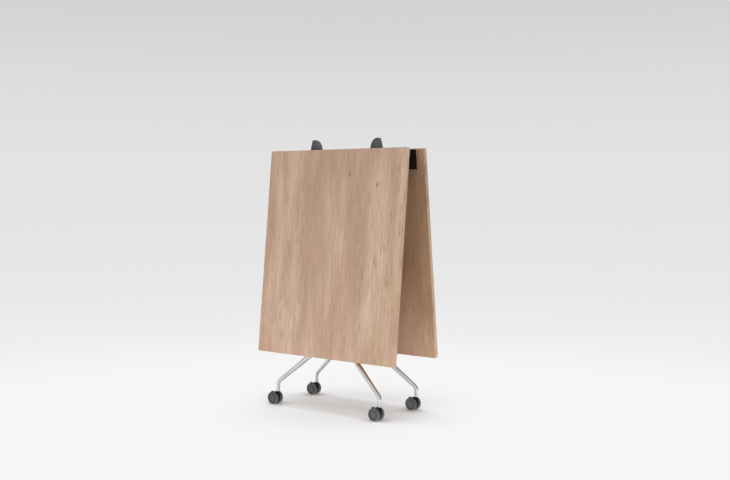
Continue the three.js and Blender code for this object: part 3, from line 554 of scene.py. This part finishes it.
def bar(node, axis, washer_inset=None):
    """A round bar with chamfered ends in place of a CAD bar, with push-on washers if asked."""
    low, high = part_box(node)
    along = "XYZ".index(axis)
    across = (along + 1) % 3
    radius = (high[across] - low[across]) / 2
    length = high[along] - low[along]
    start = (low + high) / 2
    start[along] = low[along]
    half = [(0, 0), (radius - ROD_CHAMFER, 0), (radius, ROD_CHAMFER)]
    if washer_inset:
        outer = radius + WASHER_RISE
        back = washer_inset + WASHER_THICK
        half += [(radius, washer_inset), (outer - WASHER_CHAMFER, washer_inset),
                 (outer, washer_inset + WASHER_CHAMFER), (outer, back), (radius, back + WASHER_LEAN)]
    profile = half + [(r, length - z) for r, z in reversed(half)]
    return turned(node, profile, start, axis)


for side in SIDES:
    for node, body, inset in (
            (f"{side}_pedestal_axle", f"{side}_pedestal", ROD_WASHER_INSET),
            (f"{side}_link_pin_foot", f"{side}_pedestal", PIN_WASHER_INSET),
            (f"{side}_hinge_rod", "beam", ROD_WASHER_INSET),
            (f"{side}_link_pin_top", "beam", PIN_WASHER_INSET)):
        dress(f"turned_{node}", bar(node, "X", inset), zinc, body, "plain_steel", node)
for hand in HANDS:
    dress(f"turned_lever_pin_{hand}", bar(f"lever_pin_{hand}", "Y"), zinc, "beam", "plain_steel",
          f"lever_pin_{hand}")


# Twin-wheel castors: a steel stem pressed into the tube, a moulded housing with a thin web between
# two wheels, and a brake pedal that snaps into it. The wheels are dark grey, hollow and ribbed inside.
STEM_RADIUS = 0.0045
STEM_CHAMFER = 0.0008
COLLAR_RADIUS = 0.0075
COLLAR_FROM_TOP = 0.0163
COLLAR_THICK = 0.002
COLLAR_CHAMFER = 0.0004
HOUSING_ROUND = 0.0007
PEDAL_ROUND = 0.0009
WHEEL_SIDES = 72
RIB_COUNT = 9
RIB_SIZE = (0.0134, 0.0013, 0.0034)
RIB_ORBIT = 0.0168
RIB_HEIGHT = 0.0055

# Near-black moulding for housing and pedal: partly the moulding's own black, partly painted shade that
# darkens the gap between the wheels.
housing_black_and_painted_shade = pebbled_material(
    "castor_housing", (12, 12, 12), (18, 18, 19), 0.50, 1900.0, 0.30, dust=0.03, gloss=0.2)
wheel_grey = pebbled_material(
    "castor_wheel", (78, 78, 79), (91, 91, 92), 0.55, 1500.0, 0.30, dust=0.10, gloss=0.4)

# The wheel's profile as radii and widths in millimetres: its bore, hub and hollow from the axle out,
# its tread, and its outer face with a groove and a dish back to the hub.
hollow = [(0, 12), (4.3, 12), (4.3, 0), (8.1, 0), (8.5, 0.4), (8.5, 3.1), (8.9, 3.5), (9.7, 3.5),
          (10.1, 3.9), (10.5, 7.0), (23.0, 7.0), (23.4, 3.9), (23.8, 3.5)]
tread = quarter((24.7, 6.3), 2.8, 3) + quarter((24.5, 14.0), 3.0, 0)
outer_face = [(23.4, 17.0), (23.0, 16.7), (22.8, 16.0), (22.5, 15.9), (22.2, 16.1), (22.0, 16.8),
              (21.7, 17.0), (21.0, 16.6), (20.2, 13.0), (19.6, 12.4), (18.8, 12.2), (14.6, 12.2),
              (13.9, 12.5), (13.4, 13.1), (12.6, 15.7), (12.2, 16.2), (11.3, 16.4), (6.2, 16.4),
              (5.8, 16.0), (5.4, 15.2), (0, 15.2)]
wheel_profile = [(radius / 1000, width / 1000) for radius, width in hollow + tread + outer_face]

rib_tree, inlet, outlet = geometry_tree("wheel_ribs", {
    "Count": "Int", "Middle Radius": "Float", "Rib": "Vector", "Height": "Float"})
ring = add_node(rib_tree, "GeometryNodeMeshCircle",
                {"Vertices": inlet.outputs["Count"], "Radius": inlet.outputs["Middle Radius"]})
rib = add_node(rib_tree, "GeometryNodeMeshCube", {"Size": inlet.outputs["Rib"]})
outwards = add_node(rib_tree, "FunctionNodeAlignRotationToVector",
                    {"Vector": add_node(rib_tree, "GeometryNodeInputPosition").outputs[0]}, axis="X")
ribs = add_node(rib_tree, "GeometryNodeInstanceOnPoints", {
    "Points": ring.outputs[0], "Instance": rib.outputs[0], "Rotation": outwards.outputs[0]})
lift = add_node(rib_tree, "ShaderNodeCombineXYZ", {"Z": inlet.outputs["Height"]})
lifted = add_node(rib_tree, "GeometryNodeTransform",
                  {"Geometry": ribs.outputs[0], "Translation": lift.outputs[0]})
whole = add_node(rib_tree, "GeometryNodeJoinGeometry")
rib_tree.links.new(inlet.outputs["Geometry"], whole.inputs[0])
rib_tree.links.new(lifted.outputs[0], whole.inputs[0])
close_tree(rib_tree, whole.outputs[0], inlet, outlet)


def stem_profile(length):
    """A castor stem with chamfered ends and the collar that the tube's foot stands on."""
    tip = STEM_RADIUS - STEM_CHAMFER
    rim = COLLAR_RADIUS - COLLAR_CHAMFER
    under = length - COLLAR_FROM_TOP
    over = under + COLLAR_THICK
    return [(0, 0), (tip, 0), (STEM_RADIUS, STEM_CHAMFER), (STEM_RADIUS, under), (rim, under),
            (COLLAR_RADIUS, under + COLLAR_CHAMFER), (COLLAR_RADIUS, over - COLLAR_CHAMFER),
            (rim, over), (STEM_RADIUS, over), (STEM_RADIUS, length - STEM_CHAMFER), (tip, length),
            (0, length)]


for side in SIDES:
    for hand in HANDS:
        corner = f"{side}_{hand}"
        castor = f"{corner}_castor"
        stem = f"{castor}_stem"
        low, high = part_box(stem)
        seat = Vector((middle(stem).x, middle(stem).y, low.z))
        dress(f"turned_{stem}", turned(stem, stem_profile(high.z - low.z), seat), zinc,
              f"{side}_pedestal", "plain_steel", stem)
        axle = f"{castor}_axle"
        dress(f"turned_{axle}", bar(axle, "Y"), zinc, castor, "plain_steel", axle)
        housing = f"{castor}_housing"
        dress(f"moulded_{housing}", softened(housing, HOUSING_ROUND), housing_black_and_painted_shade, castor,
              "grey_plastic", housing)
        pedal = f"{castor}_brake"
        dress(f"moulded_{pedal}", softened(pedal, PEDAL_ROUND), housing_black_and_painted_shade, f"{corner}_brake",
              "grey_plastic", pedal)
        for which, turn in (("near", math.pi / 2), ("far", -math.pi / 2)):
            node = f"{castor}_wheel_{which}"
            low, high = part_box(node)
            plain = turned(node, wheel_profile, Vector(), sides=WHEEL_SIDES)
            wheel = grown(f"ribbed_{node}", rib_tree, plain, {
                "Count": RIB_COUNT, "Middle Radius": RIB_ORBIT, "Rib": RIB_SIZE,
                "Height": RIB_HEIGHT, "Material": wheel_grey})
            hub = middle(node)
            hub.y = high.y if which == "near" else low.y
            wheel.transform(Matrix.Translation(hub) @ Matrix.Rotation(turn, 4, "X"))
            dress(f"moulded_{node}", smooth(wheel), wheel_grey, f"{corner}_wheel_{which}",
                  "castor_wheel", node)


# Carrier rails: pressed steel T-sections under each leaf, powder coated black. A row of round-head
# screws on either side of the web holds each rail to the board.
RAIL_ROUND = 0.0006
SCREW_HEAD = 0.0042
SCREW_CROWN = 0.0026
SCREW_SPACING = 0.114
SCREWS_IN_ROW = 6
FIRST_SCREW = 0.022
SCREW_FROM_WEB = 0.0145
SLOT_LENGTH = 0.0046
SLOT_WIDTH = 0.0011
SLOT_BLADE = 0.0024
FLANGE_UNDER = 0.0232

joint = {j["name"]: j for j in frame["joints"]}
tilt = math.pi / 2 - math.radians(joint["fold"]["range_deg"][1])
leaf_lies = {}
for side, pivot, turn in (("front", "beam_hinge", math.pi), ("back", "back_leaf_hinge", 0.0)):
    leaf_lies[side] = (Matrix.Translation(joint[pivot]["pos_m"]) @ Matrix.Rotation(turn, 4, "Z")
                       @ Matrix.Rotation(tilt - math.pi / 2, 4, "X"))

screw_tree, inlet, outlet = geometry_tree("screw_row", {
    "Count": "Int", "Spacing": "Vector", "Head Radius": "Float", "Crown": "Float", "Slot": "Vector",
    "Cross Slot": "Vector"})
spots = add_node(screw_tree, "GeometryNodeMeshLine", {
    "Count": inlet.outputs["Count"], "Offset": inlet.outputs["Spacing"]}, mode="OFFSET")
pair = add_node(screw_tree, "GeometryNodeInstanceOnPoints", {
    "Points": inlet.outputs["Geometry"], "Instance": spots.outputs[0]})
places = add_node(screw_tree, "GeometryNodeRealizeInstances", {"Geometry": pair.outputs[0]})
ball = add_node(screw_tree, "GeometryNodeMeshUVSphere", {"Segments": 24, "Rings": 12, "Radius": 1.0})
shape = add_node(screw_tree, "ShaderNodeCombineXYZ", {
    "X": inlet.outputs["Head Radius"], "Y": inlet.outputs["Head Radius"], "Z": inlet.outputs["Crown"]})
head = add_node(screw_tree, "GeometryNodeTransform",
                {"Geometry": ball.outputs[0], "Scale": shape.outputs[0]})
sink = add_node(screw_tree, "ShaderNodeCombineXYZ", {
    "Z": calculate(screw_tree, "MULTIPLY", inlet.outputs["Crown"], -1.0)})
cuts = add_node(screw_tree, "GeometryNodeJoinGeometry")
for label in ("Slot", "Cross Slot"):
    blade = add_node(screw_tree, "GeometryNodeMeshCube", {"Size": inlet.outputs[label]})
    sunk = add_node(screw_tree, "GeometryNodeTransform",
                    {"Geometry": blade.outputs[0], "Translation": sink.outputs[0]})
    screw_tree.links.new(sunk.outputs[0], cuts.inputs[0])
driven = add_node(screw_tree, "GeometryNodeMeshBoolean",
                  {"Mesh 1": head.outputs[0], "Mesh 2": cuts.outputs[0], "Self Intersection": True},
                  operation="DIFFERENCE", solver="EXACT")
heads = add_node(screw_tree, "GeometryNodeInstanceOnPoints", {
    "Points": places.outputs[0], "Instance": driven.outputs[0]})
close_tree(screw_tree, heads.outputs[0], inlet, outlet)

for side in SIDES:
    body = f"{side}_leaf"
    back_to_flat = leaf_lies[side].inverted()
    first = []
    for hand in HANDS:
        node = f"{side}_rail_{hand}"
        dress(f"pressed_{node}", softened(node, RAIL_ROUND), black_coat, body, "black_steel", node)
        web = (back_to_flat @ middle(node)).x
        for across in (web - SCREW_FROM_WEB, web + SCREW_FROM_WEB):
            first.append((across, FIRST_SCREW, FLANGE_UNDER))
    starts = bpy.data.meshes.new(f"{side}_screw_rows")
    starts.from_pydata(first, [], [])
    screws = grown(f"{side}_screws", screw_tree, starts, {
        "Count": SCREWS_IN_ROW, "Spacing": (0.0, SCREW_SPACING, 0.0), "Head Radius": SCREW_HEAD,
        "Crown": SCREW_CROWN, "Slot": (SLOT_LENGTH, SLOT_WIDTH, SLOT_BLADE),
        "Cross Slot": (SLOT_WIDTH, SLOT_LENGTH, SLOT_BLADE), "Material": zinc})
    screws.transform(leaf_lies[side])
    dress(f"{side}_rail_screws", smooth(screws), zinc, body, "plain_steel")


# Top boards: an 18 mm board with oak decor on both faces, the grain running from edge to edge of the
# table. A 1.5 mm edging of the same decor goes all the way round, with its arrises rounded over.
EDGE_BAND = 0.0015
EDGE_ROUND = 0.001
BOARD_CORNER = 0.003
LEAST_CORNER = 0.0002
SEAM = 0.00025
CORNER_STEPS = 6
OAK_PALE = (211, 181, 156)
OAK_MIDDLE = (187, 155, 132)
OAK_RED = (193, 155, 134)
OAK_STRAW = (205, 176, 146)
OAK_DARK = (154, 120, 96)
OAK_KNOT = (118, 88, 68)
OAK_ROUGHNESS = (0.50, 0.64)
PORE_DEPTH = 0.0001
# The underside's decor is darkened and warmed all over: painted shade for the shade inside the folded
# leaves.
UNDERSIDE_PAINTED_SHADE = (0.85, 0.775, 0.695)
BACK_LEAF_SHIFT = 1.7
CATHEDRAL = (0.16, 0.65)
CATHEDRAL_RADII = (0.075, 0.34)
KNOTS = {(0.228, 0.964): (0.012, 0.021), (0.080, 1.006): (0.012, 0.020), (-0.263, 0.464): (0.006, 0.016)}

# The decor's patterns: how many times a metre each varies across, through and along the grain, and
# the span of its noise over which it comes in. The wide tones add their strength and colour.
WIDE_TONES = (
    ((8.5, 3.0, 1.2), (0.36, 0.64), 1.00, OAK_PALE),
    ((5.5, 2.0, 1.6), (0.48, 0.66), 0.75, OAK_STRAW),
    ((4.6, 3.0, 1.5), (0.45, 0.66), 0.85, OAK_RED),
    ((21.0, 7.0, 2.8), (0.42, 0.66), 0.24, OAK_DARK))
STREAKS = ((105.0, 30.0, 7.5), (0.36, 0.66))
LINES = ((330.0, 120.0, 13.0), (0.35, 0.70))
DASHES = ((210.0, 60.0, 15.0), (0.56, 0.68))
CLUSTERS = ((11.0, 4.0, 1.5), (0.38, 0.62))
PORES = ((1300.0, 500.0, 42.0), (0.60, 0.72))
STREAK_SHARE = 0.21
ARCH_SHARE = 0.34
LINE_SHARE = 0.26
DASH_SHARES = (0.25, 0.60)
PORE_SHARE = 0.45
KNOT_SHARE = 0.9
SWAY = (5.0, 1.0, 1.6)
SWAY_WIDTH = 0.035


def board_place(tree):
    """Place on a leaf: across the grain, through the board and along the grain, in metres."""
    x, y, z = add_node(tree, "ShaderNodeSeparateXYZ", {0: object_place(tree)}).outputs
    behind = calculate(tree, "GREATER_THAN", y, 0.0)
    shifted = calculate(tree, "MULTIPLY_ADD", behind, BACK_LEAF_SHIFT, x)
    upright = add_node(tree, "ShaderNodeCombineXYZ",
                       {0: shifted, 1: calculate(tree, "ABSOLUTE", y), 2: z})
    return add_node(tree, "ShaderNodeMapping",
                    {"Vector": upright.outputs[0], "Rotation": (-tilt, 0.0, 0.0)}).outputs[0]


oak, inlet, outlet = shader_group(
    "oak_decor", {"Place": "Vector"}, {"Color": "Color", "Roughness": "Float", "Height": "Float"})
straight = inlet.outputs["Place"]
wander = noise(oak, straight, 1.0, stretch=SWAY)
drift = calculate(oak, "MULTIPLY_ADD", wander, SWAY_WIDTH, -SWAY_WIDTH / 2)
sway = add_node(oak, "ShaderNodeCombineXYZ", {"X": drift})
on_board = add_node(oak, "ShaderNodeVectorMath", {0: straight, 1: sway.outputs[0]}).outputs[0]


def grain(pattern, least=0.0, most=1.0, **make):
    """How strongly a pattern of the decor shows, between two shares."""
    stretch, span = pattern
    return remap(oak, noise(oak, on_board, 1.0, stretch=stretch, **make), *span, least, most)


def stained(colour, share, tone):
    """The decor's colour with a tone laid over it."""
    return mix_colour(oak, share, colour, (*linear(*tone), 1))


def spot(centre, radii):
    """Place inside an oval on the board, and a share that falls from 1 in its middle to 0 at its rim."""
    flat = add_node(oak, "ShaderNodeVectorMath", {0: on_board, 1: (1.0, 0.0, 1.0)}, operation="MULTIPLY")
    aside = add_node(oak, "ShaderNodeVectorMath",
                     {0: flat.outputs[0], 1: (centre[0], 0.0, centre[1])}, operation="SUBTRACT")
    scaled = add_node(oak, "ShaderNodeVectorMath",
                      {0: aside.outputs[0], 1: (1 / radii[0], 1.0, 1 / radii[1])}, operation="MULTIPLY")
    far = add_node(oak, "ShaderNodeVectorMath", {0: scaled.outputs[0]}, operation="LENGTH")
    return scaled.outputs[0], remap(oak, far.outputs["Value"], 0.0, 1.0, 1.0, 0.0)


colour = (*linear(*OAK_MIDDLE), 1)
for *pattern, strength, tone in WIDE_TONES:
    colour = stained(colour, grain(pattern, most=strength), tone)
streaks = grain(STREAKS, detail=3.0, rough=0.6)
colour = stained(colour, calculate(oak, "MULTIPLY", streaks, STREAK_SHARE), OAK_DARK)
around, near = spot(CATHEDRAL, CATHEDRAL_RADII)
arches = add_node(oak, "ShaderNodeTexWave", {
    "Vector": around, "Scale": 1.9, "Distortion": 2.2, "Detail": 3.0, "Detail Scale": 1.3},
    wave_type="RINGS", rings_direction="SPHERICAL").outputs["Fac"]
arched = calculate(oak, "MULTIPLY", remap(oak, arches, 0.45, 0.95, 0.0, ARCH_SHARE), near)
colour = stained(colour, arched, OAK_DARK)
colour = stained(colour, grain(LINES, most=LINE_SHARE), OAK_DARK)
dashes = calculate(oak, "MULTIPLY", grain(DASHES, detail=1.0), grain(CLUSTERS, *DASH_SHARES))
colour = stained(colour, dashes, OAK_DARK)
pores = grain(PORES, detail=1.0)
colour = stained(colour, calculate(oak, "MULTIPLY", pores, PORE_SHARE), OAK_DARK)
for centre, radii in KNOTS.items():
    around, near = spot(centre, radii)
    ragged = calculate(oak, "MULTIPLY", near, remap(oak, noise(oak, around, 2.4, detail=3.0), 0.3, 0.6))
    colour = stained(colour, calculate(oak, "MULTIPLY", ragged, KNOT_SHARE), OAK_KNOT)
oak.links.new(colour, outlet.inputs["Color"])
depth = calculate(oak, "MAXIMUM", pores, calculate(oak, "MULTIPLY", dashes, 0.6))
oak.links.new(calculate(oak, "SUBTRACT", 1.0, depth), outlet.inputs["Height"])
broken = calculate(oak, "ADD", depth, streaks)
oak.links.new(remap(oak, broken, 0.0, 1.6, *OAK_ROUGHNESS), outlet.inputs["Roughness"])


def oak_material(name, relief, along_edge=False, tint=None):
    """Oak decor on a board face or on its edging; across the ends the grain runs along the edging."""
    material, tree, shader = new_material(name, linear(*OAK_MIDDLE), 0.55)
    place = board_place(tree)
    if along_edge:
        x, y, z = add_node(tree, "ShaderNodeSeparateXYZ", {0: place}).outputs
        place = add_node(tree, "ShaderNodeCombineXYZ", {0: z, 1: y, 2: x}).outputs[0]
    decor = place_group(tree, oak, {"Place": place})
    colour = decor.outputs["Color"]
    if tint:
        colour = mix_colour(tree, 1.0, colour, (*tint, 1), mode="MULTIPLY")
    tree.links.new(colour, shader.inputs["Base Color"])
    tree.links.new(decor.outputs["Roughness"], shader.inputs["Roughness"])
    bump = add_node(tree, "ShaderNodeBump", {
        "Strength": relief, "Distance": PORE_DEPTH, "Height": decor.outputs["Height"]})
    tree.links.new(bump.outputs[0], shader.inputs["Normal"])
    return material


oak_face = oak_material("oak_decor_face", 0.5)
# The underside's tint is painted shade: the decor darkened and warmed as a whole for the shaded cavity.
oak_under_painted_shade = oak_material("oak_decor_underside_painted_shade", 0.5, tint=UNDERSIDE_PAINTED_SHADE)
oak_side = oak_material("oak_edging_sides", 0.25)
oak_end = oak_material("oak_edging_ends", 0.25, along_edge=True)

half_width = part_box("front_top_board")[1].x
back_to_flat = leaf_lies["back"].inverted()
flat_corners = [back_to_flat @ vertex.co for vertex in frame["nodes"]["back_top_board"].data.vertices]
near_edge, far_edge = min(c.y for c in flat_corners), max(c.y for c in flat_corners)
under_face, work_face = min(c.z for c in flat_corners), max(c.z for c in flat_corners)


def board_ring(bm, inset, level):
    """A loop of points round a board, set in from its outline, at one level."""
    radius = max(BOARD_CORNER - inset, LEAST_CORNER)
    points = []
    for turn, (x, y) in enumerate(((half_width, far_edge), (-half_width, far_edge),
                                   (-half_width, near_edge), (half_width, near_edge))):
        centre = (x - math.copysign(inset + radius, x), y - math.copysign(inset + radius, y))
        points += quarter(centre, radius, turn, CORNER_STEPS)
    return [bm.verts.new((x, y, level)) for x, y in points]


def bridge(bm, loops):
    """Faces between neighbouring loops of the same count."""
    for lower, upper in zip(loops, loops[1:]):
        for i in range(len(lower)):
            j = (i + 1) % len(lower)
            bm.faces.new((lower[i], lower[j], upper[j], upper[i]))


band_section = [(EDGE_BAND, under_face)]
for start, level in ((3, under_face + EDGE_ROUND), (0, work_face - EDGE_ROUND)):
    band_section += [(EDGE_ROUND - out, level + up) for out, up in quarter((0, 0), EDGE_ROUND, start)]
band_section.append((EDGE_BAND, work_face))

for side in SIDES:
    body = f"{side}_leaf"
    core = bmesh.new()
    loops = [board_ring(core, EDGE_BAND + inset, level) for inset, level in (
        (SEAM, under_face), (0.0, under_face + SEAM), (0.0, work_face - SEAM), (SEAM, work_face))]
    bridge(core, loops)
    core.faces.new(loops[0]).material_index = 1
    core.faces.new(loops[-1])
    core.transform(leaf_lies[side])
    board = dress(f"{side}_oak_board", smooth(mesh_of(core, body)), oak_face, body, "oak_board",
                  f"{side}_top_board")
    board.data.materials.append(oak_under_painted_shade)
    band = bmesh.new()
    loops = [board_ring(band, inset, level) for inset, level in band_section]
    bridge(band, loops + loops[:1])
    bmesh.ops.recalc_face_normals(band, faces=band.faces)
    for face in band.faces:
        if abs(face.normal.z) > 0.9:
            at_end = abs(face.calc_center_median().x) < half_width - EDGE_BAND
        else:
            at_end = abs(face.normal.y) > abs(face.normal.x)
        face.material_index = int(at_end)
    band.transform(leaf_lies[side])
    edging = dress(f"{side}_edging", smooth(mesh_of(band, f"{side}_edging")), oak_side, body, "oak_board")
    edging.data.materials.append(oak_end)


# Centre beam: a folded steel channel, open underneath, that carries the hinge rods of both leaves.
# It is powder coated black, and a moulded cap closes each end.
BEAM_ROUND = 0.0005
END_CAP_ROUND = 0.0010

dress("folded_beam", softened("centre_beam", BEAM_ROUND), black_coat, "beam", "black_steel",
      "centre_beam")
for hand in HANDS:
    node = f"beam_end_cap_{hand}"
    dress(f"moulded_{node}", softened(node, END_CAP_ROUND), black_moulding, "beam", "black_plastic", node)


# Levelling links: flat steel bars, powder coated black, that keep each pedestal upright while its
# leaf turns, each between a lug under the beam and the fork on its pedestal.
LINK_ROUND = 0.0008

for side in SIDES:
    dress(f"{side}_flat_link", softened(f"{side}_link", LINK_ROUND), black_coat, f"{side}_link_arm",
          "black_steel", f"{side}_link")


# Release levers: two moulded grey fins that stand up through the fold line, with finger ridges on
# their faces. They swing down into the beam as the table opens.
LEVER_ROUND = 0.0009

lever_grey = pebbled_material(
    "lever_moulding", (105, 104, 104), (118, 117, 117), 0.52, 1700.0, 0.30, dust=0.05)
for hand in HANDS:
    dress(f"moulded_lever_{hand}", softened(f"lever_{hand}", LEVER_ROUND), lever_grey, f"{hand}_lever",
          "grey_plastic", f"lever_{hand}")
